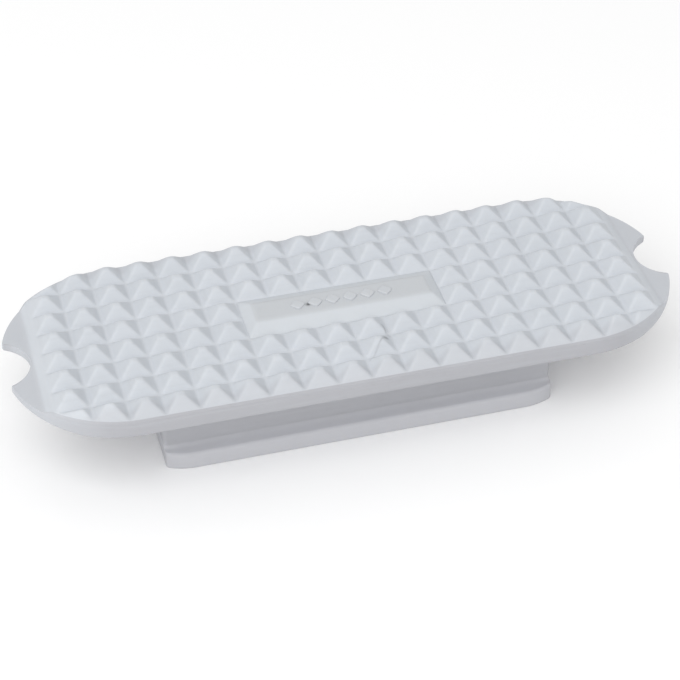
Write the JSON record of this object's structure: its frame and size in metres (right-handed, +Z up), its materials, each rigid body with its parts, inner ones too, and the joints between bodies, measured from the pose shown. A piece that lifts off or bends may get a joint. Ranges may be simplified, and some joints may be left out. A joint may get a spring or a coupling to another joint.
{
  "type": "stirrup tread",
  "caption": "Snap-in rubber tread for a stirrup iron: a notched plate with pyramid studs and a plain label bar, on a hollow undercut key that locks in the footplate's slot.",
  "frame": {"origin": "centre of the part's outline at the underside of the key, which is the plane that the loose part rests on", "axes": "+X along the tread's length, +Y across it towards the back, +Z up out of the studded face"},
  "size_m": [0.12, 0.0436, 0.0209],
  "materials": {
    "rubber_body": "matt, slightly bluish white rubber as moulded",
    "rubber_studs": "matt white rubber with soft worn stud tips",
    "rubber_label": "matt, slightly warmer and greyer white rubber",
    "rubber_key": "matt bluish white rubber with faint moulding bloom"
  },
  "bodies": {
    "root": {"base_plate": "rubber_body", "end_shelf_left": "rubber_body", "end_shelf_right": "rubber_body", "tread_pad": "rubber_studs", "stud_row_1": "rubber_studs", "stud_row_2": "rubber_studs", "stud_row_3": "rubber_studs", "stud_row_4": "rubber_studs", "stud_row_5": "rubber_studs", "stud_row_6": "rubber_studs", "stud_row_7": "rubber_studs", "stud_row_8": "rubber_studs", "label_bar": "rubber_label", "label_marks": "rubber_label", "key_root": "rubber_key", "key_wall_front": "rubber_key", "key_wall_back": "rubber_key", "key_end_left": "rubber_key", "key_end_right": "rubber_key", "key_rib": "rubber_key", "lip_front": "rubber_key", "lip_back": "rubber_key"}
  },
  "joints": []
}
